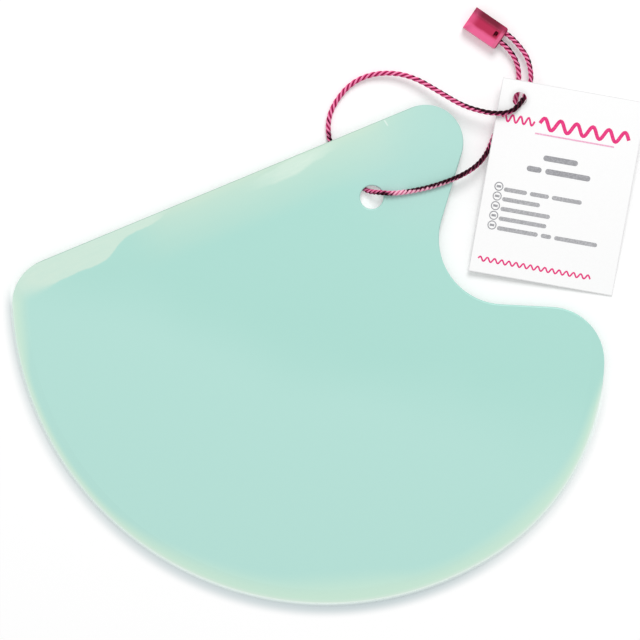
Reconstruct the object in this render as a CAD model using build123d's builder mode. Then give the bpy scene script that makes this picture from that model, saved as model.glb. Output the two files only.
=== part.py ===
# A flexible plastic bowl scraper with a paper hang tag on a twisted cord.
# Millimetres. +X runs along the straight scraping edge, +Y points from the rounded edge towards it,
# and the floor that everything lies on is z = 0, with the origin under the middle of the scraper.
import math
import os

from build123d import *

os.makedirs("parts", exist_ok=True)

# Scraper: the sheet and its outline, which is drawn from the centre of the hang hole.
sheet_thickness = 1.6
edge_from_hole = 17.6
corner_radius = 12.0
belly_left_radius = 81.7
belly_right_radius = 61.2
belly_join_angle = -79.3
tip_radius = 14.2
tip_center_x = 26.44
tip_center_y = -57.18
tip_angle = -24.3
grip_radius = 9.8
grip_center_x = 18.4
throat_radius = 17.1
throat_center_x = 27.8
throat_center_y = -23.15
hang_hole_diameter = 6.1

# Scraper: the bevels of its two scraping edges, and the rounding of all its other edges.
straight_bevel_width = 7.0
straight_bevel_drop = 0.85
round_bevel_width = 3.6
round_bevel_drop = 0.85
top_edge_radius = 0.4
under_edge_radius = 0.15

# Cord: it passes below the scraper between the straight edge and the hang hole, so the underside
# rests on it there and on the floor at the rounded edge, and rises towards lean_direction.
cord_diameter = 1.4
cord_clearance = 0.1
lean_direction = 51.5

# Card: it rests on the cord near its top and slopes down to the floor at its lowest corner.
card_width = 38.1
card_length = 51.0
card_thickness = 0.4
card_hole_diameter = 3.8
card_hole_from_side = 5.25
card_hole_from_top = 4.85
card_hole_x = 75.8
card_hole_y = 49.7
card_turn = -32.5
card_tilt = 4.2

# Seal: a snap block, where one end of the cord is moulded in beside the socket for the plug.
seal_length = 10.1
seal_width = 6.3
seal_height = 4.2
seal_shoulder_height = 3.3
seal_side_slope_width = 1.7
seal_end_slope_width = 1.15
seal_ridge_radius = 0.5
seal_mouth_corner_radius = 0.7
seal_tail_corner_radius = 0.5
seal_mouth_x = 77.6
seal_mouth_y = 65.9
seal_turn = 123.0
cord_bore_from_side = 1.25
cord_spacing = 2.6
cord_grip_depth = 1.0
cord_bore_clearance = 0.05
socket_mouth_diameter = 1.9
socket_chamber_diameter = 2.6
socket_lip_depth = 2.6
socket_depth = 5.7
window_length = 1.0
window_width = 1.7
window_corner_radius = 0.25
window_from_mouth = 2.05

# Plug: the barbed tip on the cord's free end. It fills the socket but for plug_clearance.
plug_tip_diameter = 0.9
plug_barb_length = 2.6
plug_clearance = 0.1

# One overrun serves every cut that has to clear a face.
overrun = 1.0

# The cord's route between its two straight ends, from the seal to the seal again: through the card's
# hole, over the card's side, round to the straight edge, below the scraper, up through the hang hole,
# over the grip lobe, below the card and back.
cord_points = [
    (81.15, 62.6, 2.1),
    (81.95, 59.3, 2.25),
    (81.55, 56.05, 2.5),
    (80.65, 53.3, 2.8),
    (79.1, 51.3, 3.0),
    (77.3, 49.7, 3.1),
    (74.75, 48.15, 5.6),
    (72.4, 47.45, 5.6),
    (69.5, 48.15, 5.5),
    (66.15, 49.95, 5.35),
    (61.5, 53.7, 4.6),
    (57.5, 59.15, 3.7),
    (53.4, 64.7, 2.8),
    (48.95, 68.35, 2.1),
    (43.0, 70.6, 1.5),
    (37.15, 70.45, 1.1),
    (32.1, 68.0, 0.8),
    (28.4, 64.75, 0.7),
    (26.4, 60.4, 0.7),
    (25.9, 55.8, 0.7),
    (26.8, 51.0, 0.7),
    (28.2, 46.8, 0.7),
    (29.9, 42.9, 0.7),
    (33.2, 41.05, 4.15),
    (36.3, 39.55, 4.1),
    (40.9, 38.3, 4.0),
    (46.5, 37.35, 4.0),
    (52.5, 37.05, 4.1),
    (57.15, 37.45, 4.2),
    (60.55, 38.65, 4.2),
    (63.0, 40.35, 2.8),
    (65.05, 42.4, 1.8),
    (67.55, 44.85, 1.1),
    (70.5, 46.75, 0.75),
    (73.5, 48.15, 0.7),
    (75.75, 51.0, 0.8),
    (77.5, 53.9, 1.1),
    (78.75, 57.05, 1.5),
    (78.95, 60.5, 1.9),
]


def polar(radius, angle):
    """The vector of this length at this angle in degrees, in the XY plane."""
    return Vector(radius * math.cos(math.radians(angle)), radius * math.sin(math.radians(angle)))


def crossing_tangent(start_center, start_radius, end_center, end_radius, side):
    """The two ends of the line that touches both circles and crosses between them."""
    across = end_center - start_center
    turn = math.degrees(math.acos((start_radius + end_radius) / across.length))
    angle = math.degrees(math.atan2(across.Y, across.X)) + side * turn
    return start_center + polar(start_radius, angle), end_center - polar(end_radius, angle)


def bend_radii(points):
    """The radius at each inner point: as large as the two runs that meet there allow."""
    radii = []
    for before, here, after in zip(points, points[1:], points[2:]):
        run_in = Vector(here) - Vector(before)
        run_out = Vector(after) - Vector(here)
        half_turn = math.radians(run_in.get_angle(run_out)) / 2
        radii.append(0.45 * min(run_in.length, run_out.length) / math.tan(half_turn))
    return radii


# The outline's circles. The belly is two arcs that share a tangent at belly_join_angle.
tip_center = Vector(tip_center_x, tip_center_y)
belly_right_center = tip_center - polar(belly_right_radius - tip_radius, tip_angle)
belly_left_center = belly_right_center - polar(belly_left_radius - belly_right_radius, belly_join_angle)
throat_center = Vector(throat_center_x, throat_center_y)
grip_center = Vector(grip_center_x, edge_from_hole - grip_radius)
corner_rise = edge_from_hole - corner_radius - belly_left_center.Y
corner_run = math.sqrt((belly_left_radius - corner_radius) ** 2 - corner_rise**2)
corner_center = belly_left_center + Vector(-corner_run, corner_rise)
corner_angle = math.degrees(math.atan2(corner_rise, -corner_run))
tip_end, throat_start = crossing_tangent(tip_center, tip_radius, throat_center, throat_radius, -1)
throat_end, grip_start = crossing_tangent(throat_center, throat_radius, grip_center, grip_radius, 1)

# The hang hole's place, with the origin under the middle of the outline's box.
hole_x = -(belly_left_center.X - belly_left_radius + tip_center.X + tip_radius) / 2
hole_y = -(belly_left_center.Y - belly_left_radius + edge_from_hole) / 2

# The scraper's plane holds its underside, with the hang hole's centre as its origin.
hole_lift = cord_diameter + cord_clearance
lean_run = belly_left_radius - belly_left_center.dot(polar(1, lean_direction))
lean_angle = math.degrees(math.asin(hole_lift / lean_run))
scraper_plane = (
    Plane((hole_x, hole_y, hole_lift))
    .rotated((0, 0, -lean_direction))
    .rotated((0, -lean_angle, 0))
    .rotated((0, 0, lean_direction))
)
scraper_up = Axis(scraper_plane.origin, scraper_plane.z_dir)


def bevel_plane(edge_point, outward):
    """The plane across an edge of the sheet: x runs out of the sheet, and y up from its underside."""
    origin = scraper_plane.from_local_coords(edge_point)
    x_dir = scraper_plane.from_local_coords(edge_point + outward) - origin
    return Plane(origin, x_dir=x_dir, z_dir=x_dir.cross(scraper_plane.z_dir))


def bevel_corners(width, drop):
    """The triangle that a bevel of this width and drop takes off, run on past the sheet's faces."""
    slope = drop / width
    return [
        (-width - overrun / slope, sheet_thickness + overrun),
        (overrun, sheet_thickness - drop - overrun * slope),
        (overrun, sheet_thickness + overrun),
    ]


# The scraper: one sheet, bevelled down to both scraping edges and rounded where it is held.
with BuildPart() as scraper:
    with BuildSketch(scraper_plane):
        with BuildLine():
            straight = Line((grip_center.X, edge_from_hole), (corner_center.X, edge_from_hole))
            corner = JernArc(straight @ 1, straight % 1, corner_radius, corner_angle - 90)
            belly_left_turn = 360 + belly_join_angle - corner_angle
            belly_left = JernArc(corner @ 1, corner % 1, belly_left_radius, belly_left_turn)
            belly_right_turn = tip_angle - belly_join_angle
            belly_right = JernArc(belly_left @ 1, belly_left % 1, belly_right_radius, belly_right_turn)
            tip = TangentArc(belly_right @ 1, tip_end, tangent=belly_right % 1)
            tip_side = Line(tip @ 1, throat_start)
            throat = TangentArc(throat_start, throat_end, tangent=tip_side % 1)
            grip_side = Line(throat @ 1, grip_start)
            TangentArc(grip_start, straight @ 0, tangent=grip_side % 1)
        make_face()
        Circle(hang_hole_diameter / 2, mode=Mode.SUBTRACT)
    extrude(amount=sheet_thickness)
    fillet(scraper.faces().sort_by(scraper_up)[-1].edges(), top_edge_radius)
    fillet(scraper.faces().sort_by(scraper_up)[0].edges(), under_edge_radius)

    # The straight bevel is cut along the whole edge, past the corner and the grip lobe.
    straight_start = Vector(corner_center.X - corner_radius - overrun, edge_from_hole)
    straight_end = Vector(grip_center.X + grip_radius + overrun, edge_from_hole)
    with BuildSketch(bevel_plane(straight_start, Vector(0, 1))):
        Polygon(*bevel_corners(straight_bevel_width, straight_bevel_drop), align=None)
    extrude(amount=straight_end.X - straight_start.X, mode=Mode.SUBTRACT)

    # The round bevel is turned about the belly's two centres.
    for arc_center, arc_radius, start_angle, arc_turn in (
        (belly_left_center, belly_left_radius, corner_angle, belly_left_turn),
        (belly_right_center, belly_right_radius, belly_join_angle, belly_right_turn),
    ):
        arc_start = arc_center + polar(arc_radius, start_angle)
        with BuildSketch(bevel_plane(arc_start, polar(1, start_angle))):
            Polygon(*bevel_corners(round_bevel_width, round_bevel_drop), align=None)
        arc_axis = Axis(scraper_plane.from_local_coords(arc_center), scraper_plane.z_dir)
        revolve(axis=arc_axis, revolution_arc=arc_turn, mode=Mode.SUBTRACT)

    # Past each end of the belly it runs straight out of the sheet.
    for arc_center, arc_radius, end_angle, run_out in (
        (belly_left_center, belly_left_radius, corner_angle, corner_radius),
        (belly_right_center, belly_right_radius, tip_angle, -tip_radius),
    ):
        arc_end = arc_center + polar(arc_radius, end_angle)
        with BuildSketch(bevel_plane(arc_end, polar(1, end_angle))):
            Polygon(*bevel_corners(round_bevel_width, round_bevel_drop), align=None)
        extrude(amount=run_out, mode=Mode.SUBTRACT)

scraper.part.label = "scraper"
export_step(scraper.part, "parts/scraper.step")


# The card's plane holds its underside, with its hole's centre as the origin, x along its width and
# y up its length.
card_run = (
    (card_length - card_hole_from_top) * math.cos(math.radians(card_turn))
    - (card_width - card_hole_from_side) * math.sin(math.radians(card_turn))
)
card_lift = card_run * math.sin(math.radians(card_tilt))
card_plane = (
    Plane((card_hole_x, card_hole_y, card_lift)).rotated((0, 0, card_turn)).rotated((card_tilt, 0, 0))
)

# The card: a plain rectangle of stiff paper with one punched hole in its top corner.
with BuildPart() as tag_card:
    with BuildSketch(card_plane):
        with Locations((-card_hole_from_side, card_hole_from_top)):
            Rectangle(card_width, card_length, align=(Align.MIN, Align.MAX))
        Circle(card_hole_diameter / 2, mode=Mode.SUBTRACT)
    extrude(amount=card_thickness)

tag_card.part.label = "tag_card"
export_step(tag_card.part, "parts/tag_card.step")


# The seal's plane lies on the floor with x running from its mouth into the block. The mouth's plane
# stands in the face that the cord enters, with x across it and z into the block.
seal_plane = Plane((seal_mouth_x, seal_mouth_y)).rotated((0, 0, seal_turn))
mouth_plane = Plane(
    seal_plane.from_local_coords(Vector(0, 0, seal_height / 2)),
    x_dir=seal_plane.y_dir,
    z_dir=seal_plane.x_dir,
)

# The cord's bore and the plug's socket lie side by side in the mouth.
bore_across = cord_bore_from_side - seal_width / 2
socket_across = bore_across + cord_spacing

# The seal block: upright to its shoulder, with four slopes to a flat top, where a window opens into
# the socket.
with BuildPart() as seal_block:
    with BuildSketch(seal_plane):
        Rectangle(seal_length, seal_width, align=(Align.MIN, Align.CENTER))
    extrude(amount=seal_shoulder_height)
    with BuildSketch(seal_plane.offset(seal_shoulder_height)):
        Rectangle(seal_length, seal_width, align=(Align.MIN, Align.CENTER))
    with BuildSketch(seal_plane.offset(seal_height)):
        with Locations((seal_end_slope_width, 0)):
            Rectangle(
                seal_length - 2 * seal_end_slope_width,
                seal_width - 2 * seal_side_slope_width,
                align=(Align.MIN, Align.CENTER),
            )
    loft()
    fillet(seal_block.edges().sort_by(Axis.Z)[-8:], seal_ridge_radius)
    with BuildSketch(seal_plane) as seal_outline:
        Rectangle(seal_length, seal_width, align=(Align.MIN, Align.CENTER))
        corners = seal_outline.vertices().sort_by(Axis.X)
        fillet(corners[:2], seal_mouth_corner_radius)
        fillet(corners[2:], seal_tail_corner_radius)
    extrude(amount=seal_height, mode=Mode.INTERSECT)

    # The mouth has the cord's bore and, past a narrower lip, the chamber that holds the plug's barb.
    with BuildSketch(mouth_plane):
        with Locations((bore_across, 0)):
            Circle(cord_diameter / 2 + cord_bore_clearance)
    extrude(amount=cord_grip_depth, mode=Mode.SUBTRACT)
    with BuildSketch(mouth_plane):
        with Locations((socket_across, 0)):
            Circle(socket_mouth_diameter / 2)
    extrude(amount=socket_lip_depth, mode=Mode.SUBTRACT)
    with BuildSketch(mouth_plane.offset(socket_lip_depth)):
        with Locations((socket_across, 0)):
            Circle(socket_chamber_diameter / 2)
    extrude(amount=socket_depth - socket_lip_depth, mode=Mode.SUBTRACT)
    with BuildSketch(seal_plane.offset(seal_height)):
        with Locations((window_from_mouth, 0)):
            RectangleRounded(window_length, window_width, window_corner_radius)
    extrude(amount=-seal_height / 2, mode=Mode.SUBTRACT)

seal_block.part.label = "seal_block"
export_step(seal_block.part, "parts/seal_block.step")


# The plug: a stem in the socket's mouth and a barb that has snapped in behind its lip.
socket_mouth = mouth_plane.from_local_coords(Vector(socket_across, 0))
plug_section = Plane(
    socket_mouth, x_dir=mouth_plane.x_dir, z_dir=mouth_plane.x_dir.cross(mouth_plane.z_dir)
)
stem_radius = socket_mouth_diameter / 2 - plug_clearance
barb_radius = socket_chamber_diameter / 2 - plug_clearance
barb_start = socket_lip_depth + plug_clearance
with BuildPart() as seal_plug:
    with BuildSketch(plug_section):
        with BuildLine():
            Polyline(
                (0, cord_grip_depth),
                (stem_radius, cord_grip_depth),
                (stem_radius, barb_start),
                (barb_radius, barb_start),
                (plug_tip_diameter / 2, barb_start + plug_barb_length),
                (0, barb_start + plug_barb_length),
                close=True,
            )
        make_face()
    revolve(axis=Axis(socket_mouth, mouth_plane.z_dir))

seal_plug.part.label = "seal_plug"
export_step(seal_plug.part, "parts/seal_plug.step")


# The cord: one closed loop between the block's bore and the plug, with a straight stretch at each end.
straight_out = cord_diameter + cord_bore_clearance
cord_start = [
    mouth_plane.from_local_coords(Vector(bore_across, 0, depth))
    for depth in (cord_grip_depth, -straight_out)
]
cord_end = [
    mouth_plane.from_local_coords(Vector(socket_across, 0, depth))
    for depth in (-straight_out, cord_grip_depth)
]
route_points = [*cord_start, *cord_points, *cord_end]
radii = bend_radii(route_points)
print("cord bend radii in mm:", " ".join(f"{radius:.1f}" for radius in radii))
with BuildPart() as tag_cord:
    with BuildLine() as route:
        FilletPolyline(*route_points, radius=radii)
    with BuildSketch(Plane(route.line @ 0, z_dir=route.line % 0)):
        Circle(cord_diameter / 2)
    sweep()
cord_length = sum(edge.length for edge in route.edges())
tube_volume = math.pi * (cord_diameter / 2) ** 2 * cord_length
print("cord length in mm:", round(cord_length, 1))
print("cord volume over section times length:", round(tag_cord.part.volume / tube_volume, 4))

tag_cord.part.label = "tag_cord"
export_step(tag_cord.part, "parts/tag_cord.step")
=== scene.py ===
import math

import bpy
import numpy as np
from mathutils import Matrix, Vector


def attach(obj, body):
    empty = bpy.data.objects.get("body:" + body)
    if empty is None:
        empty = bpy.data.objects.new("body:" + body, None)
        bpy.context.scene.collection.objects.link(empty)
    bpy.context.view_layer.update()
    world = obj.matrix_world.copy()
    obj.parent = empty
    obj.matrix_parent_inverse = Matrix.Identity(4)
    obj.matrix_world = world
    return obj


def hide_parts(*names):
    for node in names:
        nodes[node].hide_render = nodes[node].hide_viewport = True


MM = 0.001
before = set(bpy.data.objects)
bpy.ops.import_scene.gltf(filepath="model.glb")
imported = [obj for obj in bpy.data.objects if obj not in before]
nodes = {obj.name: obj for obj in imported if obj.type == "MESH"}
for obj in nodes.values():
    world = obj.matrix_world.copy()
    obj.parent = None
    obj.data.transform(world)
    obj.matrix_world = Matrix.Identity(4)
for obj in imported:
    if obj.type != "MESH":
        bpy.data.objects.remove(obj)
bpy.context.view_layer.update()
scene = bpy.context.scene
scene.view_settings.view_transform = "Standard"

# Where a colour Mix node keeps its factor, its two colours and its result among its sockets.
mix_inputs = (0, 6, 7)
mix_output = 2


# Small helpers for the node graphs of the materials and of the world.
class Graph:
    """A node tree, with the calls that the materials and the world share."""

    def __init__(self, owner, output_kind="ShaderNodeOutputMaterial"):
        owner.use_nodes = True
        self.tree = owner.node_tree
        self.tree.nodes.clear()
        self.output = self.add(output_kind)

    def add(self, kind, inputs=None, **settings):
        node = self.tree.nodes.new(kind)
        for key, value in settings.items():
            setattr(node, key, value)
        for key, value in (inputs or {}).items():
            self.put(node.inputs[key], value)
        return node

    def put(self, socket, value):
        if isinstance(value, bpy.types.NodeSocket):
            self.tree.links.new(value, socket)
        else:
            socket.default_value = value

    def show(self, result):
        self.put(self.output.inputs["Surface"], result)

    def math(self, operation, *values, clamp=False):
        node = self.add("ShaderNodeMath", operation=operation, use_clamp=clamp)
        for socket, value in zip(node.inputs, values):
            self.put(socket, value)
        return node.outputs[0]

    def plus(self, first, second):
        return self.math("ADD", first, second)

    def minus(self, first, second):
        return self.math("SUBTRACT", first, second)

    def times(self, first, second, clamp=False):
        return self.math("MULTIPLY", first, second, clamp=clamp)

    def over(self, first, second):
        return self.math("DIVIDE", first, second)

    def vector(self, operation, *values):
        """A vector operation's result, which for a distance or a dot product is a number."""
        node = self.add("ShaderNodeVectorMath", operation=operation)
        for socket, value in zip(node.inputs, values):
            self.put(socket, value)
        return node.outputs["Value" if operation in ("DISTANCE", "DOT_PRODUCT") else "Vector"]

    def axes(self, vector):
        """A vector's parts, as X, Y and Z."""
        return self.add("ShaderNodeSeparateXYZ", {"Vector": vector}).outputs

    def place(self):
        """Each place of the surface, in metres."""
        return self.add("ShaderNodeTexCoord").outputs["Object"]

    def on_plan(self, place):
        """The place on the floor plan below this one."""
        return self.vector("MULTIPLY", place, (1.0, 1.0, 0.0))

    def attribute(self, name):
        return self.add("ShaderNodeAttribute", attribute_name=name).outputs["Fac"]

    def smooth(self, value, low, high):
        """0 at low and 1 at high, smoothly between; low may be the larger."""
        flip = low > high
        settings = {"interpolation_type": "SMOOTHSTEP", "clamp": True}
        inputs = {
            "Value": value,
            "From Min": min(low, high),
            "From Max": max(low, high),
            "To Min": 1.0 if flip else 0.0,
            "To Max": 0.0 if flip else 1.0,
        }
        return self.add("ShaderNodeMapRange", inputs, **settings).outputs["Result"]

    def ramp(self, value, places):
        """0 at the first of two places in mm and 1 at the second, smoothly between."""
        low, high = places
        return self.smooth(value, low * MM, high * MM)

    def mix(self, share, first, second, blend="MIX"):
        node = self.add("ShaderNodeMix", data_type="RGBA", blend_type=blend, clamp_factor=True)
        for index, value in zip(mix_inputs, (share, first, second)):
            self.put(node.inputs[index], value)
        return node.outputs[mix_output]

    def paint(self, under, mask, color, share):
        """This colour laid over another where the mask is 1, with this share of its full strength."""
        return self.mix(self.times(mask, share), under, color)

    def noise(self, vector, scale, detail=2.0, roughness=0.5):
        inputs = {"Vector": vector, "Scale": scale, "Detail": detail, "Roughness": roughness}
        return self.add("ShaderNodeTexNoise", inputs).outputs["Fac"]

    def drift(self, size, vector, **noise):
        """Noise about zero, up to half this size either way."""
        return self.times(self.minus(self.noise(vector, **noise), 0.5), size)

    def bump(self, height, strength, distance, normal=None):
        node = self.add("ShaderNodeBump", {"Height": height, "Strength": strength, "Distance": distance})
        if normal is not None:
            self.put(node.inputs["Normal"], normal)
        return node.outputs["Normal"]

    def principled(self, inputs):
        self.show(self.add("ShaderNodeBsdfPrincipled", inputs).outputs["BSDF"])

    def curve(self, value, points):
        """A share that follows given points (place in mm, share) along value."""
        node = self.add("ShaderNodeFloatCurve")
        node.mapping.use_clip = False
        node.mapping.extend = "HORIZONTAL"
        low, high = points[0][0], points[-1][0]
        curve = node.mapping.curves[0]
        spots = [((place - low) / (high - low), share) for place, share in points]
        curve.points[0].location, curve.points[1].location = spots[0], spots[-1]
        for spot in spots[1:-1]:
            curve.points.new(*spot)
        node.mapping.update()
        self.put(node.inputs["Value"], self.over(self.minus(value, low * MM), (high - low) * MM))
        return node.outputs["Value"]

    def profile(self, value, points, top=10):
        """A size that follows given points (place, size), both in mm, along value. A curve holds
        shares, so the sizes are written in it as shares of top."""
        share = self.curve(value, [(place, size / top) for place, size in points])
        return self.times(share, top * MM)


def srgb(red, green, blue):
    """A colour written 0 to 255, as the linear colour that the nodes take."""

    def linear(value):
        value /= 255
        return value / 12.92 if value <= 0.04045 else ((value + 0.055) / 1.055) ** 2.4

    return (linear(red), linear(green), linear(blue), 1.0)


white = srgb(255, 255, 255)


def set_material(obj, material):
    """One material on the whole of an object."""
    obj.data.materials.clear()
    obj.data.materials.append(material)
    for polygon in obj.data.polygons:
        polygon.material_index = 0


def shade_smooth(obj, degrees):
    """Smooth shading, with edges sharper than this angle kept."""
    for polygon in obj.data.polygons:
        polygon.use_smooth = True
    obj.data.set_sharp_from_angle(angle=math.radians(degrees))


def mesh_object(name, vertices, faces):
    mesh = bpy.data.meshes.new(name)
    mesh.from_pydata(vertices, [], faces)
    mesh.update()
    obj = bpy.data.objects.new(name, mesh)
    scene.collection.objects.link(obj)
    return obj


# The camera looks straight down, turned so that the straight edge climbs to the right by 22.5 degrees.
# Its picture is picture_width across at picture_height above the floor.
picture_turn = math.radians(22.5)
picture_width = 166.4 * MM
picture_height = 2.5 * MM
picture_middle = (5.99 * MM, 16.55 * MM)
picture_right = Vector((math.cos(picture_turn), -math.sin(picture_turn), 0))
picture_up = Vector((math.sin(picture_turn), math.cos(picture_turn), 0))
camera_height = 1.2
sensor_width = 36.0
clip_near = 0.05
clip_far = 50.0


def make_camera():
    data = bpy.data.cameras.new("camera")
    data.sensor_width = sensor_width
    data.lens = sensor_width * (camera_height - picture_height) / picture_width
    data.clip_start = clip_near
    data.clip_end = clip_far
    camera = bpy.data.objects.new("camera", data)
    camera.location = (*picture_middle, camera_height)
    camera.rotation_euler = (0, 0, -picture_turn)
    scene.collection.objects.link(camera)
    scene.camera = camera


make_camera()


# The cord's route, in mm: the straight stretch out of the seal block, then the same points as the
# solid's, to the straight stretch back into the block.
cord_points = [
    (78.649, 67.774, 2.1),
    (79.983, 65.719, 2.1),
    (81.15, 62.6, 2.1),
    (81.95, 59.3, 2.25),
    (81.55, 56.05, 2.5),
    (80.65, 53.3, 2.8),
    (79.1, 51.3, 3.0),
    (77.3, 49.7, 3.1),
    (74.75, 48.15, 5.6),
    (72.4, 47.45, 5.6),
    (69.5, 48.15, 5.5),
    (66.15, 49.95, 5.35),
    (61.5, 53.7, 4.6),
    (57.5, 59.15, 3.7),
    (53.4, 64.7, 2.8),
    (48.95, 68.35, 2.1),
    (43.0, 70.6, 1.5),
    (37.15, 70.45, 1.1),
    (32.1, 68.0, 0.8),
    (28.4, 64.75, 0.7),
    (26.4, 60.4, 0.7),
    (25.9, 55.8, 0.7),
    (26.8, 51.0, 0.7),
    (28.2, 46.8, 0.7),
    (29.9, 42.9, 0.7),
    (33.2, 41.05, 4.15),
    (36.3, 39.55, 4.1),
    (40.9, 38.3, 4.0),
    (46.5, 37.35, 4.0),
    (52.5, 37.05, 4.1),
    (57.15, 37.45, 4.2),
    (60.55, 38.65, 4.2),
    (63.0, 40.35, 2.8),
    (65.05, 42.4, 1.8),
    (67.55, 44.85, 1.1),
    (70.5, 46.75, 0.75),
    (73.5, 48.15, 0.7),
    (75.75, 51.0, 0.8),
    (77.5, 53.9, 1.1),
    (78.75, 57.05, 1.5),
    (78.95, 60.5, 1.9),
    (77.803, 64.303, 2.1),
    (76.468, 66.357, 2.1),
]
cord_diameter = 1.4 * MM
cord_step = 0.16 * MM


def centre_line(points):
    """Points close together along the smooth line that these control points give."""
    curve = bpy.data.curves.new("cord_line", "CURVE")
    curve.dimensions = "3D"
    spline = curve.splines.new("NURBS")
    spline.points.add(len(points) - 1)
    for spot, point in zip(spline.points, points):
        spot.co = (*(value * MM for value in point), 1.0)
    spline.order_u = 3
    spline.use_endpoint_u = True
    spline.resolution_u = 16
    holder = bpy.data.objects.new("cord_line", curve)
    mesh = bpy.data.meshes.new_from_object(holder)
    line = np.array([vertex.co[:] for vertex in mesh.vertices])
    bpy.data.objects.remove(holder)
    bpy.data.meshes.remove(mesh)
    return line


def respace(line, step):
    """The same line with even steps, and each point's distance along it."""
    along = np.concatenate([[0], np.cumsum(np.linalg.norm(np.diff(line, axis=0), axis=1))])
    count = int(round(along[-1] / step)) + 1
    even = np.linspace(0, along[-1], count)
    return np.stack([np.interp(even, along, line[:, k]) for k in range(3)], axis=1), even


def unit(vectors):
    """The same directions, one unit long."""
    return vectors / np.linalg.norm(vectors, axis=-1, keepdims=True)


def carried_frames(line):
    """Two unit normals at each point of a line, carried along it without spin."""
    tangents = unit(np.gradient(line, axis=0))
    sides = [unit(np.cross(tangents[0], (0, 0, 1)))]
    for tangent in tangents[1:]:
        sides.append(unit(sides[-1] - tangent * np.dot(sides[-1], tangent)))
    sides = np.array(sides)
    return sides, np.cross(tangents, sides)


line, along = respace(centre_line(cord_points), cord_step)
sides, ups = carried_frames(line)

# The cord: three plies laid in a left-handed twist, each a tube of its own along the line.
ply_count = 3
ply_radius = 0.335 * MM
ply_offset = 0.355 * MM
ply_sides = 12
ply_sharp_angle = 60

# In the tables below, a place is how far along the cord it lies from the seal block, in mm. The first
# is the twist's pitch, also in mm: it is closest beyond the hang hole.
pitch_by_place = {
    20: 4.3, 30: 4.6, 45: 4.6, 51: 5.2, 80: 5.2, 86: 4.5, 100: 4.5, 104: 3.7, 140: 3.7, 150: 4.6,
}
# How dark the cord is: nearly black where it lies on the card and beside it, half black over the
# grip lobe, and pink round the loop.
darkness_by_place = {
    8: 0.2, 12: 0.28, 20: 0.3, 21.5: 0.65, 24: 0.85, 32: 0.85, 35: 0.55, 38: 0.38, 41: 0.08, 47: 0.0,
    56: -0.1, 62: 0.0, 80: 0.0, 83: 0.38, 86: 0.6, 104: 0.3, 107: 0.45, 110: 0.72, 111.5: 0.5, 113: 0.1,
    116: 0.3, 119: 0.6, 122: 0.66, 125: 0.8, 128: 0.82, 131: 0.88, 134: 0.8, 137: 0.62, 142: 0.45,
    147: 0.4, 152: 0.05, 160: 0.02, 166: 0.3,
}
# How much darker, by painted shade, its side towards the picture's upper right is than its middle:
# in the hang hole its other side is the darker.
side_by_place = {
    12: 0.65, 38: 0.65, 42: 0.85, 54: 0.8, 60: 0.3, 80: 0.25, 104: -0.3, 110: -0.3, 113: 0.0, 117: 0.95,
    160: 0.6,
}
# How far its pink fades to pale where it lies over the grip lobe.
fade_by_place = {110: 0, 113: 1, 126: 1, 130: 0.5, 140: 0}
# The side that painted shade darkens, towards the picture's upper right.
painted_shade_side = (picture_up * 0.8 + picture_right * 0.6).normalized()


def along_cord(by_place):
    """What a table by place gives at each point of the cord's line."""
    return np.interp(along / MM, list(by_place), list(by_place.values()))


twist = -2 * math.pi * np.cumsum(np.gradient(along) / (along_cord(pitch_by_place) * MM))
darkness_along = along_cord(darkness_by_place)
side_along = along_cord(side_by_place)
fade_along = along_cord(fade_by_place)


def ply_frames(ply):
    """One ply's centre line, and the two unit normals that its rings of points are drawn on."""
    turn = twist + 2 * math.pi * ply / ply_count
    out = np.cos(turn)[:, None] * sides + np.sin(turn)[:, None] * ups
    centre = line + ply_offset * out
    run = unit(np.gradient(centre, axis=0))
    outward = unit(out - run * (out * run).sum(1)[:, None])
    return centre, outward, np.cross(run, outward)


def twisted_cord():
    """The plies as one mesh. Its points hold how dark the cord is, with painted shade on its one side,
    and the fade, and its map, named ply, runs along each ply in mm and round it once from 0 to 1."""
    vertices, faces, ply_uvs, darknesses, fades = [], [], [], [], []
    for ply in range(ply_count):
        centre, outward, across = ply_frames(ply)
        start = len(vertices)
        for k in range(len(line)):
            for side in range(ply_sides):
                angle = 2 * math.pi * side / ply_sides
                spot = centre[k] + ply_radius * (math.cos(angle) * outward[k] + math.sin(angle) * across[k])
                vertices.append(tuple(spot))
                # How dark this point is, with painted shade on the cord's one side.
                toward_dark = float(np.dot(spot - line[k], painted_shade_side)) / (cord_diameter / 2)
                darknesses.append(darkness_along[k] + side_along[k] * toward_dark)
                fades.append(fade_along[k])
        for k in range(len(line) - 1):
            for side in range(ply_sides):
                a = start + k * ply_sides + side
                b = start + k * ply_sides + (side + 1) % ply_sides
                faces.append((a, b, b + ply_sides, a + ply_sides))
                low, high = along[k] / MM, along[k + 1] / MM
                left, right = side / ply_sides, (side + 1) / ply_sides
                ply_uvs += [(low, left), (low, right), (high, right), (high, left)]
        last = start + (len(line) - 1) * ply_sides
        for cap in (
            [start + side for side in reversed(range(ply_sides))],
            [last + side for side in range(ply_sides)],
        ):
            faces.append(tuple(cap))
            ply_uvs += [(0, 0)] * ply_sides
    cord = mesh_object("twisted_cord", vertices, faces)
    shade_smooth(cord, ply_sharp_angle)
    uv_layer = cord.data.uv_layers.new(name="ply")
    for loop, uv in enumerate(ply_uvs):
        uv_layer.data[loop].uv = uv
    for layer_name, values in (("darkness", darknesses), ("fade", fades)):
        layer = cord.data.attributes.new(layer_name, "FLOAT", "POINT")
        layer.data.foreach_set("value", values)
    return cord


cord = twisted_cord()
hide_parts("tag_cord")
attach(cord, "cord_loop")


# The fibre's colours: each pair is a ply's side and its crest, whose paler colour is a painted highlight.
# A groove lies between two plies, and the groove colours are painted shade for it.
fibre_pink = (srgb(220, 68, 124), srgb(255, 156, 198))
fibre_faded = (srgb(242, 152, 186), srgb(255, 204, 220))
fibre_dark = (srgb(24, 3, 12), srgb(118, 34, 64))
groove_shade_pink = srgb(140, 22, 68)
groove_shade_faded = srgb(204, 96, 134)
groove_shade_dark = srgb(20, 2, 10)
fibre_height = 0.06 * MM


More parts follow.
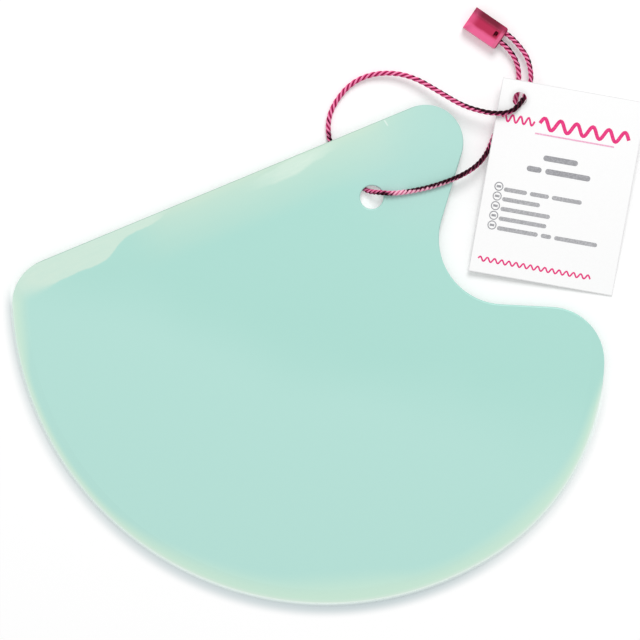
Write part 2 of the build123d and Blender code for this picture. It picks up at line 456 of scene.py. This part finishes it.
def cord_fibre():
    """Pink fibre that is maroon black in places, with a painted highlight along each ply's crest and
    painted shade in the grooves between the plies.
    """
    material = bpy.data.materials.new("cord_fibre")
    g = Graph(material)
    uv = g.add("ShaderNodeUVMap", uv_map="ply").outputs["UV"]
    from_crest = g.math("ABSOLUTE", g.minus(g.math("FRACT", g.plus(g.axes(uv)["Y"], 0.5)), 0.5))
    groove = g.smooth(from_crest, 0.15, 0.24)
    crest = g.smooth(from_crest, 0.17, 0.03)
    fade = g.attribute("fade")
    along_ply = g.vector("MULTIPLY", uv, (1.3, 22.0, 1.0))
    fibres = g.noise(along_ply, scale=1.0, detail=3.0, roughness=0.65)

    # The darkness is patchy, and painted shade adds to it in the grooves, in patches.
    patches = g.drift(0.8, g.vector("MULTIPLY", uv, (0.8, 1.6, 1.0)), scale=1.0)
    groove_unevenness = g.noise(g.vector("MULTIPLY", uv, (0.35, 0.0, 1.0)), scale=1.0, detail=1.0)
    patchy_groove_shade = g.times(groove, g.times(g.smooth(groove_unevenness, 0.35, 0.65), 0.45))
    darkness = g.plus(g.plus(g.attribute("darkness"), patches), patchy_groove_shade)
    dark_share = g.smooth(darkness, 0.42, 0.72)

    # The crests get a painted highlight, and the grooves get painted shade.
    lit_crest = g.times(crest, g.smooth(fibres, 0.2, 0.6))
    pink = g.mix(fade, g.mix(lit_crest, *fibre_pink), g.mix(lit_crest, *fibre_faded))
    dark = g.mix(g.times(crest, g.smooth(fibres, 0.35, 0.75)), *fibre_dark)
    shade = g.mix(dark_share, g.mix(fade, groove_shade_pink, groove_shade_faded), groove_shade_dark)
    g.principled(
        {
            "Base Color": g.paint(g.mix(dark_share, pink, dark), groove, shade, share=0.85),
            "Roughness": 0.65,
            "Specular IOR Level": 0.08,
            "Normal": g.bump(fibres, strength=0.5, distance=fibre_height),
        }
    )
    return material


set_material(cord, cord_fibre())


# The scraper's outline, which its marks and the floor's shade follow: the straight edge, the hang hole
# and the belly's two arcs. The arcs meet at join_angle and end at tip_angle, both as seen from the
# right arc's centre.
straight_edge_y = 58.5 * MM
hang_hole = (30.63 * MM, 40.9 * MM, 0.0)
belly_left_center = (10.43 * MM, 23.2 * MM, 0.0)
belly_right_center = (14.24 * MM, 3.06 * MM, 0.0)
belly_left_radius = 81.7 * MM
belly_right_radius = 61.2 * MM
join_angle = math.radians(-79.3)
tip_angle = math.radians(-24.3)

# In each pair of places from here on, in mm, something begins at the first and is full at the second.
past_join = (-0.5, 0.5)
before_tip = (-2, -14)
far_left_x = (-20, -40)
below_corner_y = (57, 50)


def beyond_angle(g, flat, angle):
    """How far a place lies past the spoke at this angle from the right arc's centre."""
    spoke_side = (-math.sin(angle), math.cos(angle), 0.0)
    return g.vector("DOT_PRODUCT", g.vector("SUBTRACT", flat, belly_right_center), spoke_side)


def inside_belly(g, flat):
    """How far a place on the floor plan lies inside the belly's two arcs."""
    from_left = g.minus(belly_left_radius, g.vector("DISTANCE", flat, belly_left_center))
    from_right = g.minus(belly_right_radius, g.vector("DISTANCE", flat, belly_right_center))
    on_right = g.ramp(beyond_angle(g, flat, join_angle), past_join)
    return g.plus(g.times(from_right, on_right), g.times(from_left, g.minus(1.0, on_right)))


def belly_share(g, flat):
    """1 beside the belly, and 0 past its tip and beyond its corner."""
    axes = g.axes(flat)
    beside_belly = g.ramp(beyond_angle(g, flat, tip_angle), before_tip)
    beside_belly = g.math("MAXIMUM", beside_belly, g.ramp(axes["X"], far_left_x))
    return g.times(beside_belly, g.ramp(axes["Y"], below_corner_y))


class SheetMap:
    """Where each place of the sheet lies, for the marks that follow its edges."""

    def __init__(self, g):
        self.place = g.place()
        self.flat = g.on_plan(self.place)
        axes = g.axes(self.place)
        self.x, self.y = axes["X"], axes["Y"]
        self.from_straight = g.minus(straight_edge_y, self.y)
        self.from_belly = inside_belly(g, self.flat)
        self.by_belly = belly_share(g, self.flat)
        self.normal = g.add("ShaderNodeTexCoord").outputs["Normal"]
        self.normal_up = g.axes(self.normal)["Z"]


# The sheet's own mint, in the shade, in the light and on the grip lobe.
mint_shaded = srgb(174, 223, 212)
mint_lit = srgb(182, 227, 217)
mint_lobe = srgb(180, 223, 214)
lower_left = tuple(-0.95 * picture_up - 0.3 * picture_right)
toward_lit = (-18, 8)
lit_unevenness = 30 * MM
lobe_middle = (48.0 * MM, 46.0 * MM, 0.0)
toward_lobe = (28, 10)


def body_color(g, at):
    """The sheet's mint, a little darker towards the picture's top and right, and greyer on the lobe."""
    drift = g.drift(lit_unevenness, at.place, scale=22.0, detail=1.5)
    lit = g.ramp(g.plus(g.vector("DOT_PRODUCT", at.flat, lower_left), drift), toward_lit)
    on_lobe = g.ramp(g.vector("DISTANCE", at.flat, lobe_middle), toward_lobe)
    return g.paint(g.mix(lit, mint_shaded, mint_lit), on_lobe, mint_lobe, share=0.8)


# The belly's pale band, and the paler rim along it, both painted light.
belly_painted_light = srgb(206, 237, 217)
belly_rim_painted_light = srgb(216, 238, 224)
# How wide the band is at places along x, both in mm. It is wider still near the corner.
belly_band_widths = [
    (-71, 2.2), (-66, 2.2), (-60, 3.2), (-47, 6), (-30, 7.5), (-11, 9.5), (10, 6), (35, 6.5), (49, 4.4),
    (61, 3.2), (68, 1),
]
corner_widening = 2.5 * MM
toward_corner_y = (30, 44)
toward_belly_rim = (1.3, 0.4)


def belly_band(g, at, body, rim_depth):
    """The belly's bevel is thin enough to let the floor's light through, so painted light makes it
    paler and yellower, and its rim paler still.
    """
    widening = g.times(g.ramp(at.y, toward_corner_y), corner_widening)
    width = g.plus(g.profile(at.x, belly_band_widths), widening)
    band = g.times(g.smooth(g.over(at.from_belly, width), 1.0, 0.1), at.by_belly)
    body = g.paint(body, band, belly_painted_light, share=0.9)
    rim = g.times(g.ramp(at.from_belly, toward_belly_rim), at.by_belly)
    return g.paint(body, rim, belly_rim_painted_light, share=rim_depth)


# The straight bevel's pale band, a painted reflection.
straight_reflection = srgb(205, 230, 212)
straight_unevenness = 1.5 * MM
# How pale it is in from its edge, and how much of that it is at places along x. Places are in mm.
straight_band_shares = [
    (0, 0.95), (0.8, 0.82), (2.5, 0.6), (5, 0.45), (8, 0.3), (10, 0.21), (12, 0.08), (14, 0), (16, 0),
]
straight_run_shares = [
    (-60, 0.1), (-36, 0.1), (-28, 0.4), (-19, 0.9), (-10, 1), (34, 1), (41, 0.7), (48, 0.3), (56, 0.1),
]


def straight_band(g, at, body):
    """A painted reflection makes the straight bevel paler, most at its edge, and it runs out towards
    both ends.
    """
    uneven = g.plus(at.from_straight, g.drift(straight_unevenness, at.place, scale=80.0))
    band = g.curve(uneven, straight_band_shares)
    run = g.curve(at.x, straight_run_shares)
    return g.paint(body, band, straight_reflection, share=run)


# The two patches of painted reflection on the straight bevel.
reflection_raggedness = 1.5 * MM
left_reflection_pale = srgb(211, 234, 219)
middle_reflection_pale = srgb(216, 238, 224)
# How far in from the straight edge each patch reaches at places along x, both in mm.
left_patch_reach = [
    (-66, 5.6), (-62, 6.2), (-56, 6.7), (-50, 6.4), (-45, 6.5), (-40, 6.3), (-37, 5.2), (-34, 3.4),
    (-30, 2.3), (-25, 2.1), (-20, 1),
]
middle_patch_reach = [(-2, 3.4), (5, 4.2), (10, 4.8), (15, 4.7), (18, 4), (20, 3.3), (25, 2.8), (30, 2)]
left_patch_ends_x = ((-76, -58), (-18, -25))
left_patch_blur = 0.3 * MM
left_patch_more_blur = 2.2 * MM
left_patch_more_blur_x = (-52, -62)
middle_patch_ends_x = ((-1, 15), (30, 19))
middle_patch_side = (0.5, -0.5)
middle_patch_start = (0, 0.7)
middle_patch_gap = 1.4 * MM
middle_patch_gap_x = (18, 2)


def between(g, value, ends):
    """1 between two ends, and 0 outside them."""
    start, end = ends
    return g.times(g.ramp(value, start), g.ramp(value, end))


def left_patch(g, at, ragged):
    """The left patch of painted reflection. Its inner side is sharp, but softer near the corner."""
    past_reach = g.minus(at.from_straight, g.plus(g.profile(at.x, left_patch_reach), ragged))
    more_blur = g.times(g.ramp(at.x, left_patch_more_blur_x), left_patch_more_blur)
    blur = g.plus(left_patch_blur, more_blur)
    band = g.smooth(g.over(past_reach, blur), 1.0, -1.0)
    return g.times(band, between(g, at.x, left_patch_ends_x))


def middle_patch(g, at, ragged, streaks):
    """The middle patch of painted reflection, streaked. It starts a little way in from the edge."""
    past_reach = g.minus(at.from_straight, g.plus(g.profile(at.x, middle_patch_reach), ragged))
    gap = g.times(g.ramp(at.x, middle_patch_gap_x), middle_patch_gap)
    past_gap = g.minus(g.plus(at.from_straight, ragged), gap)
    band = g.times(g.ramp(past_reach, middle_patch_side), g.ramp(past_gap, middle_patch_start))
    strength = g.plus(0.3, g.times(streaks, 1.1))
    return g.times(band, g.times(between(g, at.x, middle_patch_ends_x), strength))


# The nick, which slants a little off a line across the straight edge.
nick_pale = srgb(240, 250, 244)
nick_x = 41.25 * MM
nick_slant = 0.18
nick_sides = (0.28, 0.1)
nick_ends = ((0.2, 0.5), (2.3, 1.7))


def nick(g, at):
    """A small nick across the straight edge, beside the grip lobe."""
    nick_line = g.plus(nick_x, g.times(at.from_straight, nick_slant))
    off_line = g.math("ABSOLUTE", g.minus(at.x, nick_line))
    return g.times(g.ramp(off_line, nick_sides), between(g, at.from_straight, nick_ends))


# Thin lines of light and shade along the edges.
belly_rim_lit = srgb(236, 248, 241)
straight_edge_dark = srgb(140, 180, 165)
rounding_dark = srgb(120, 190, 172)
at_belly_edge = (0.45, 0.2)
at_straight_edge = (0.3, 0.1)
outside_hole = (3.4, 4.2)


def edge_marks(g, at, body, rim_depth):
    """The belly's rim catches the light, and the straight edge and the lobes' rounding are darker."""
    rim_line = g.times(g.ramp(at.from_belly, at_belly_edge), at.by_belly)
    body = g.paint(body, rim_line, belly_rim_lit, share=rim_depth)
    body = g.paint(body, g.ramp(at.from_straight, at_straight_edge), straight_edge_dark, share=0.45)
    body = g.paint(body, nick(g, at), nick_pale, share=0.55)
    rounding = g.times(g.smooth(at.normal_up, 0.9, 0.35), g.minus(1.0, at.by_belly))
    off_hole = g.ramp(g.vector("DISTANCE", at.flat, hang_hole), outside_hole)
    return g.paint(body, g.times(rounding, off_hole), rounding_dark, share=0.4)


# The bevels, whose slopes are hardly shaded, and the sheet's fine relief.
on_straight_bevel = (7.6, 7.0)
on_belly_bevel = (4.0, 3.2)
slope_lift = (0.0, 0.0, 8.0)
wave_height = 0.5 * MM
grain_height = 0.02 * MM


def sheet_normal(g, at, reflection_patches):
    """Light spreads within the plastic, so the bevels' slopes are hardly shaded. The sheet is faintly
    wavy, and faintly grained, most on the patches of painted reflection."""
    on_bevel = g.math(
        "MAXIMUM",
        g.ramp(at.from_belly, on_belly_bevel),
        g.ramp(at.from_straight, on_straight_bevel),
    )
    on_slope = g.times(on_bevel, g.smooth(at.normal_up, 0.7, 0.9))
    lifted = g.vector("ADD", at.normal, g.vector("MULTIPLY", on_slope, slope_lift))
    normal = g.vector("NORMALIZE", lifted)
    waves = g.noise(at.place, scale=35.0, detail=1.0)
    normal = g.bump(waves, strength=0.12, distance=wave_height, normal=normal)
    grain_strength = g.plus(0.06, g.times(reflection_patches, 0.3))
    grain = g.noise(at.place, scale=2600.0)
    return g.bump(grain, strength=grain_strength, distance=grain_height, normal=normal)


# The belly's rim, whose painted light is fainter towards the corner.
rim_strength = 0.8
rim_loss = 0.4
rim_loss_x = (-50, -66)


def mint_plastic():
    """Pale mint plastic, faintly glossy, with bevelled edges that let light through. Its
    colour holds painted light, shade and reflections; it is rougher on the painted reflections.
    """
    material = bpy.data.materials.new("mint_plastic")
    g = Graph(material)
    at = SheetMap(g)
    ragged = g.drift(reflection_raggedness, at.place, scale=150.0, detail=4.0, roughness=0.6)
    along_streaks = g.vector("MULTIPLY", at.place, (0.25, 1.0, 0.0))
    streaks = g.noise(along_streaks, scale=900.0, detail=3.0, roughness=0.6)
    left = left_patch(g, at, ragged)
    middle = middle_patch(g, at, ragged, streaks)
    reflection_patches = g.plus(g.times(left, 0.5), g.times(middle, 0.5))
    rim_depth = g.minus(rim_strength, g.times(g.ramp(at.x, rim_loss_x), rim_loss))

    body = belly_band(g, at, body_color(g, at), rim_depth)
    body = straight_band(g, at, body)
    # Painted reflections: the left patch, then the streaked middle patch.
    body = g.paint(body, left, left_reflection_pale, share=g.plus(0.72, g.times(streaks, 0.3)))
    body = g.mix(g.times(middle, 0.9, clamp=True), body, middle_reflection_pale)
    body = edge_marks(g, at, body, rim_depth)
    g.principled(
        {
            "Base Color": body,
            "Roughness": g.plus(0.34, g.times(reflection_patches, 0.25)),
            "IOR": 1.5,
            "Normal": sheet_normal(g, at, reflection_patches),
        }
    )
    return material


sheet_sharp_angle = 20
set_material(nodes["scraper"], mint_plastic())
shade_smooth(nodes["scraper"], sheet_sharp_angle)


# The card's own frame, with its hole's centre as the origin, x along its width and y up its length.
card_width = 38.1 * MM
card_length = 51.0 * MM
card_thickness = 0.4 * MM
card_hole = (75.8 * MM, 49.7 * MM, 0.0)
card_hole_from_side = 5.25 * MM
card_hole_from_top = 4.85 * MM
card_turn = math.radians(-32.5)
card_tilt = math.radians(4.2)
# How far up the slope its hole lies from its lowest corner, which is on the floor.
hole_up_slope = (card_length - card_hole_from_top) * math.cos(card_turn)
hole_up_slope -= (card_width - card_hole_from_side) * math.sin(card_turn)
card_frame = (
    Matrix.Translation((card_hole[0], card_hole[1], hole_up_slope * math.sin(card_tilt)))
    @ Matrix.Rotation(card_tilt, 4, "X")
    @ Matrix.Rotation(card_turn, 4, "Z")
)
card_middle = (card_width / 2 - card_hole_from_side, card_hole_from_top - card_length / 2)

# The card's paper, and the grey of the painted shade along its edges and round its hole.
paper_white = (srgb(253, 253, 253), srgb(255, 255, 255))
paper_shade_grey = srgb(120, 120, 122)
toward_card_hole = (3.3, 1.9)
toward_card_edge = (0.3, 0)
paper_grain_height = 0.03 * MM


def from_card_edge(g, place):
    """How far a place of the card lies in from the nearest of its four edges."""
    from_hole = g.vector("SUBTRACT", place, tuple(card_frame.translation))
    from_edges = []
    for axis, size in enumerate((card_width, card_length)):
        along_axis = g.vector("DOT_PRODUCT", from_hole, tuple(card_frame.to_3x3().col[axis]))
        off_middle = g.math("ABSOLUTE", g.minus(along_axis, card_middle[axis]))
        from_edges.append(g.minus(size / 2, off_middle))
    return g.math("MINIMUM", *from_edges)


def card_paper():
    """Stiff white paper with a faint mottle, and painted shade along its edges and round its hole."""
    material = bpy.data.materials.new("card_paper")
    g = Graph(material)
    place = g.place()
    mottle = g.noise(place, scale=900.0, detail=3.0, roughness=0.6)
    at_hole = g.ramp(g.vector("DISTANCE", g.on_plan(place), card_hole), toward_card_hole)
    at_edge = g.ramp(from_card_edge(g, place), toward_card_edge)
    # Painted shade round the hole, then along the edges.
    paper = g.paint(g.mix(mottle, *paper_white), at_hole, paper_shade_grey, share=0.16)
    g.principled(
        {
            "Base Color": g.paint(paper, at_edge, paper_shade_grey, share=0.25),
            "Roughness": 0.6,
            "Specular IOR Level": 0.35,
            "Normal": g.bump(mottle, strength=0.15, distance=paper_grain_height),
        }
    )
    return material


set_material(nodes["tag_card"], card_paper())


# The card's print: plain strokes laid just over the card, in its own plane. Each place is given across
# and up the card from its hole, in mm, and each width is in mm too.
print_lift = card_thickness + 0.015 * MM
ring_steps = 28
wave_steps = 14
bar_steps = 6
cap_steps = 8
shortest_bar = 0.2


def stroke_mesh(name, strokes):
    """Flat ribbons along polylines on the card. A stroke is (points, width), and its width may be a
    list with one for each point."""
    vertices, faces = [], []
    for points, width in strokes:
        path = np.array(points, float)
        runs = unit(np.gradient(path, axis=0))
        half_widths = np.broadcast_to(width, len(path))[:, None] / 2
        normals = np.stack([-runs[:, 1], runs[:, 0]], axis=1) * half_widths
        base = len(vertices)
        for spot, normal in zip(path, normals):
            for edge in (spot - normal, spot + normal):
                vertices.append(card_frame @ Vector((edge[0] * MM, edge[1] * MM, print_lift)))
        for k in range(len(path) - 1):
            a = base + 2 * k
            faces.append((a, a + 2, a + 3, a + 1))
    return mesh_object(name, vertices, faces)


def ring(center, radius, width):
    """One closed ring."""
    turns = [2 * math.pi * k / ring_steps for k in range(ring_steps + 1)]
    return [(center[0] + radius * math.cos(t), center[1] + radius * math.sin(t)) for t in turns], width


def bars(start, lengths, height, gap):
    """Plain round-ended bars of these lengths, side by side."""
    strokes, at = [], start[0]
    cap_turns = [math.pi / 2 * k / cap_steps for k in range(cap_steps + 1)]
    for length in lengths:
        flat_part = max(length - height, shortest_bar)
        points = [(at + height / 2 + flat_part * k / bar_steps, start[1]) for k in range(bar_steps + 1)]
        strokes.append((points, height))
        for middle, sign in ((points[0][0], -1), (points[-1][0], 1)):
            cap = [(middle + sign * height / 2 * math.sin(turn), start[1]) for turn in cap_turns]
            strokes.append((cap, [height * math.cos(turn) for turn in cap_turns]))
        at += length + gap
    return strokes


def wave_line(start, end, height, pitch, width):
    """One even wave from start across to end."""
    count = int((end - start[0]) / (pitch / wave_steps))
    points = []
    for k in range(count + 1):
        at = start[0] + (end - start[0]) * k / count
        points.append((at, start[1] + height / 2 * math.sin(2 * math.pi * (at - start[0]) / pitch)))
    return points, width


def print_ink(name, color):
    """Flat ink, paler in specks where it has worn."""
    material = bpy.data.materials.new(name)
    g = Graph(material)
    worn = (*(min(1.0, value * 1.5 + 0.02) for value in color[:3]), 1.0)
    speckle = g.smooth(g.noise(g.place(), scale=2400.0), 0.3, 0.9)
    g.principled({"Base Color": g.mix(speckle, color, worn), "Roughness": 0.5, "Specular IOR Level": 0.35})
    return material


# Two waves side by side at the top with a thin line below them, and one wave at the bottom.
pink_strokes = [
    wave_line((-3.6, -5.3), end=4.9, height=1.9, pitch=2.1, width=0.5),
    wave_line((6.3, -5.2), end=29.9, height=2.9, pitch=4.25, width=0.95),
    wave_line((-3.3, -42.5), end=26.4, height=1.1, pitch=1.9, width=0.42),
]
pale_strokes = [([(5.5, -8.0), (26.4, -8.0)], 0.4)]
# Two lines of large bars, then five rows of small bars, each with a ring mark in front.
dark_strokes = bars((8.8, -13.9), lengths=(9.1,), height=1.45, gap=1.0)
dark_strokes += bars((5.0, -17.25), lengths=(3.9, 11.9), height=1.45, gap=1.0)
grey_strokes = []
rows = ((6.1, 5.0, 7.9), (10.0,), (13.1,), (12.6,), (10.8, 2.75, 11.35))
first_row_y = -23.2
row_pitch = 2.55
mark_x = -1.3
mark_bar_half = 0.6
bars_x = 0.1
bars_below_mark = 0.52
for row, lengths in enumerate(rows):
    mark_y = first_row_y - row_pitch * row
    mark_bar = [(mark_x - mark_bar_half, mark_y), (mark_x + mark_bar_half, mark_y)]
    dark_strokes += [ring((mark_x, mark_y), radius=1.05, width=0.28), (mark_bar, 0.6)]
    grey_strokes += bars((bars_x, mark_y - bars_below_mark), lengths, height=1.1, gap=0.8)

for name, strokes, color in (
    ("print_pink", pink_strokes, srgb(226, 44, 120)),
    ("print_pale", pale_strokes, srgb(238, 168, 196)),
    ("print_grey", grey_strokes, srgb(166, 166, 169)),
    ("print_dark", dark_strokes, srgb(152, 152, 156)),
):
    piece = stroke_mesh(name, strokes)
    set_material(piece, print_ink(name, color))
    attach(piece, "tag")


# The seal's places are measured in from its mouth, and across from its middle towards its lit side.
# Its side with painted shade is the one towards the picture's upper right.
seal_mouth = (77.6 * MM, 65.9 * MM, 0.0)
seal_turn = math.radians(123.0)
seal_in = (math.cos(seal_turn), math.sin(seal_turn), 0.0)
seal_across = (-math.sin(seal_turn), math.cos(seal_turn), 0.0)
seal_unevenness = 0.4 * MM
seal_grain_height = 0.02 * MM

# The seal's pink, with its painted light and painted shade, and where each one sets in.
seal_middle = srgb(185, 42, 82)
seal_lit_pink = srgb(255, 110, 162)
seal_shaded_pink = srgb(112, 20, 46)
seal_shaded_pink_by_mouth = srgb(158, 44, 80)
seal_tail_lit = srgb(234, 94, 142)
seal_mouth_slope_lit = srgb(240, 112, 154)
seal_mouth_face_shaded = srgb(138, 30, 66)
across_to_middle = (-2.1, -0.5)
across_to_light = (0.7, 1.9)
across_off_dark = (-2.4, -0.4)
depth_by_mouth = (3.2, 0.6)
depth_at_tail = (7.4, 9.6)
depth_at_slope = (1.35, 0.9)
depth_at_face = (0.35, 0.15)


def seal_plastic():
    """Moulded pink plastic, with painted shade along one side and painted light along the other, on
    the slope by its mouth and at its tail, and painted shade on its mouth's face.
    """
    material = bpy.data.materials.new("seal_plastic")
    g = Graph(material)
    place = g.place()
    from_mouth = g.vector("SUBTRACT", place, seal_mouth)
    depth_in = g.vector("DOT_PRODUCT", from_mouth, seal_in)
    across = g.vector("DOT_PRODUCT", from_mouth, seal_across)
    across = g.plus(across, g.drift(seal_unevenness, place, scale=500.0))
    off_dark = g.ramp(across, across_off_dark)

    # Painted shade on one side and painted light on the other, then a lit tail and slope and a shaded mouth
    # face.
    dark = g.mix(g.ramp(depth_in, depth_by_mouth), seal_shaded_pink, seal_shaded_pink_by_mouth)
    pink = g.mix(g.ramp(across, across_to_middle), dark, seal_middle)
    pink = g.mix(g.ramp(across, across_to_light), pink, seal_lit_pink)
    tail_share = g.plus(0.3, g.times(off_dark, 0.45))
    pink = g.paint(pink, g.ramp(depth_in, depth_at_tail), seal_tail_lit, share=tail_share)
    pink = g.paint(pink, g.ramp(depth_in, depth_at_slope), seal_mouth_slope_lit, share=off_dark)
    pink = g.mix(g.ramp(depth_in, depth_at_face), pink, seal_mouth_face_shaded)
    g.principled(
        {
            "Base Color": pink,
            "Roughness": 0.35,
            "Specular IOR Level": 0.15,
            "Normal": g.bump(g.noise(place, scale=3000.0), strength=0.12, distance=seal_grain_height),
        }
    )
    return material


seal_material = seal_plastic()
set_material(nodes["seal_block"], seal_material)
set_material(nodes["seal_plug"], seal_material)


# The floor is white, and bright enough to the camera to give a white background with soft shadows.
# A painted shadow greys it a little way out from the rounded edge, most where that edge turns from
# the light at the picture's top. Painted light brightens what shows at the sheet's rim and in its
# hang hole, where the sheet lets some light through.
floor_half = 3.0
floor_height = -0.02 * MM
floor_grey = (0.9, 0.9, 0.9, 1.0)
floor_glow = 0.16
# Painted light in the hang hole and at the rim, and the rim's tint.
hole_painted_light = 0.2
rim_painted_light = 0.17
rim_painted_light_tint = (0.5, 1.0, 0.9, 1.0)
in_hang_hole = (4.0, 2.8)
toward_rim = (-1, 0)
shade_tint = (0.0, 0.17, 0.21, 1.0)
shade_shift = tuple(-1.15 * MM * picture_up - 0.2 * MM * picture_right)
shade_reach = (-3, 0.1)
outside_rim = (0, -0.8)
# How much of its full tint the painted shadow has at places along x in mm.
shade_shares = [
    (-72, 0.24), (-60, 0.32), (-30, 0.38), (-10, 0.4), (10, 0.36), (35, 0.18), (61, 0.14), (69, 0.12),
]


def seen_straight(g):
    """1 for what the camera sees, also in a reflection or through something clear."""
    paths = g.add("ShaderNodeLightPath").outputs
    seen = g.math("MAXIMUM", paths["Is Camera Ray"], paths["Is Transmission Ray"])
    return g.math("MAXIMUM", seen, paths["Is Glossy Ray"])


def floor_shade(g, place, flat):
    """How much of its full tint the painted shadow has beside the belly, and 0 elsewhere."""
    shifted = g.vector("SUBTRACT", flat, shade_shift)
    beside = g.ramp(inside_belly(g, shifted), shade_reach)
    beside = g.times(beside, g.ramp(inside_belly(g, flat), outside_rim))
    return g.times(g.times(beside, belly_share(g, flat)), g.curve(g.axes(place)["X"], shade_shares))


def floor_white():
    """White that is lit as a floor is, and glows a little where it is seen. It has a painted shadow
    beside the belly, and painted light at the sheet's rim and in its hang hole.
    """
    material = bpy.data.materials.new("floor_white")
    g = Graph(material)
    place = g.place()
    flat = g.on_plan(place)
    tint = g.mix(floor_shade(g, place, flat), white, shade_tint)
    in_hole = g.ramp(g.vector("DISTANCE", flat, hang_hole), in_hang_hole)
    at_rim = g.times(g.ramp(inside_belly(g, flat), toward_rim), belly_share(g, flat))
    painted_light = g.plus(g.times(in_hole, hole_painted_light), g.times(at_rim, rim_painted_light))
    strength = g.times(seen_straight(g), g.plus(floor_glow, painted_light))
    color = g.paint(tint, at_rim, rim_painted_light_tint, share=0.5)
    glow = g.add("ShaderNodeEmission", {"Color": color, "Strength": strength})
    diffuse = g.add("ShaderNodeBsdfDiffuse", {"Color": g.mix(1.0, tint, floor_grey, "MULTIPLY")})
    g.show(g.add("ShaderNodeAddShader", {0: diffuse.outputs[0], 1: glow.outputs[0]}).outputs[0])
    return material


floor_signs = ((-1, -1), (1, -1), (1, 1), (-1, 1))
floor_corners = [(floor_half * across, floor_half * up, floor_height) for across, up in floor_signs]
floor = mesh_object("floor", floor_corners, [(0, 1, 2, 3)])
set_material(floor, floor_white())


# The world is white to the camera and in reflections, and a softer fill light for the rest.
fill_strength = 0.62
white_strength = 1.0


def make_world():
    scene.world = bpy.data.worlds.new("world")
    g = Graph(scene.world, "ShaderNodeOutputWorld")
    strengths = {"Value": seen_straight(g), "To Min": fill_strength, "To Max": white_strength}
    strength = g.add("ShaderNodeMapRange", strengths).outputs["Result"]
    g.show(g.add("ShaderNodeBackground", {"Color": white, "Strength": strength}).outputs[0])


make_world()

# The key lamp is a large soft panel up and a little to the right of the picture.
key_direction = (picture_up * 0.8 + picture_right * 0.2 + Vector((0, 0, 1))).normalized()
key_distance = 1.1
key_size = 0.55
key_energy = 5.85


def make_key_lamp():
    data = bpy.data.lights.new("key", "AREA")
    data.shape = "DISK"
    data.size = key_size
    data.energy = key_energy
    key = bpy.data.objects.new("key", data)
    key.location = Vector((*picture_middle, 0.0)) + key_direction * key_distance
    key.rotation_euler = key_direction.to_track_quat("Z", "Y").to_euler()
    scene.collection.objects.link(key)


make_key_lamp()
